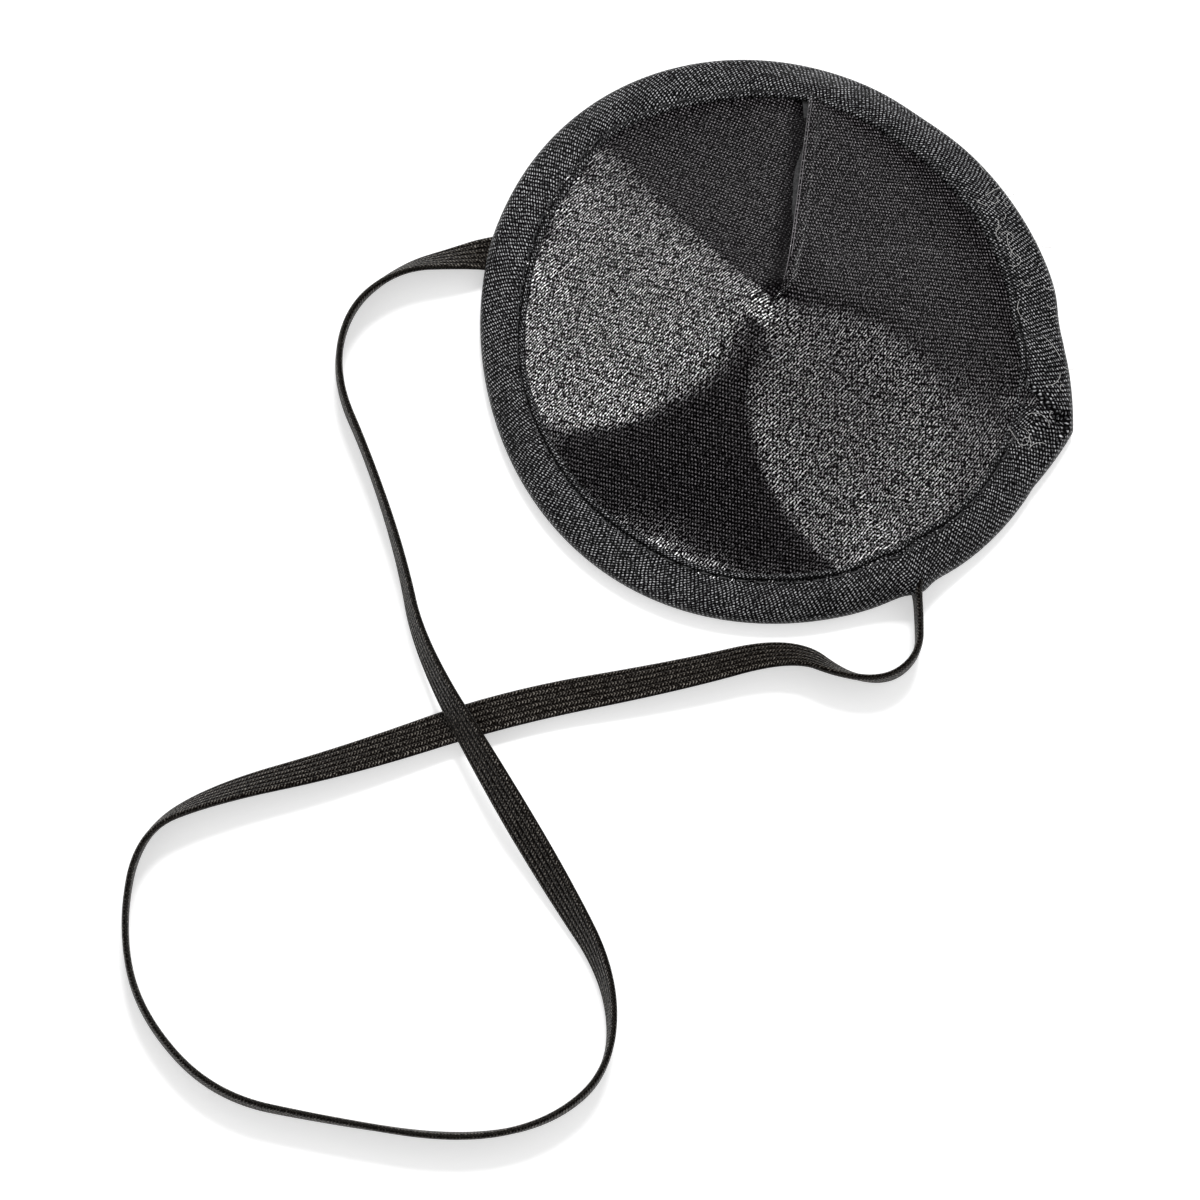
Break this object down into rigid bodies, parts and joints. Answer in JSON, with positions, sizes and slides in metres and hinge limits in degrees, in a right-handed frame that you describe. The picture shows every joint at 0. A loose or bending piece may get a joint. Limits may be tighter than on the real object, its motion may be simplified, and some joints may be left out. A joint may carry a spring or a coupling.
{
  "type": "eye patch",
  "caption": "Shallow cone of satin with one dart and a bound rim, worn over one eye, with a loop of flat elastic sewn to the back of the rim at two places.",
  "frame": {"origin": "centre of the rim, on the surface that the rim rests on, with the domed side up", "axes": "+Z out of the domed side, +Y roughly towards the dart, +X to the right seen from the domed side with the dart up"},
  "size_m": [0.1225, 0.1442, 0.0207],
  "materials": {
    "satin": "black acetate satin, lustrous along its floats",
    "foam": "dark grey laminated foam, matte",
    "lining": "black plain-weave cotton, matte",
    "bias_tape": "black twill bias tape, soft sheen",
    "elastic": "warm black braided elastic with five ribs",
    "thread": "black polyester thread"
  },
  "bodies": {
    "root": {"satin_panel": "satin", "foam_interlining": "foam", "lining_panel": "lining", "dart_thread": "thread", "edge_binding": "bias_tape", "binding_needle_thread": "thread", "binding_bobbin_thread": "thread", "elastic_strap": "elastic", "strap_end_left": "elastic", "strap_end_right": "elastic", "bar_tack_left": "thread", "bar_tack_right": "thread"}
  },
  "joints": []
}
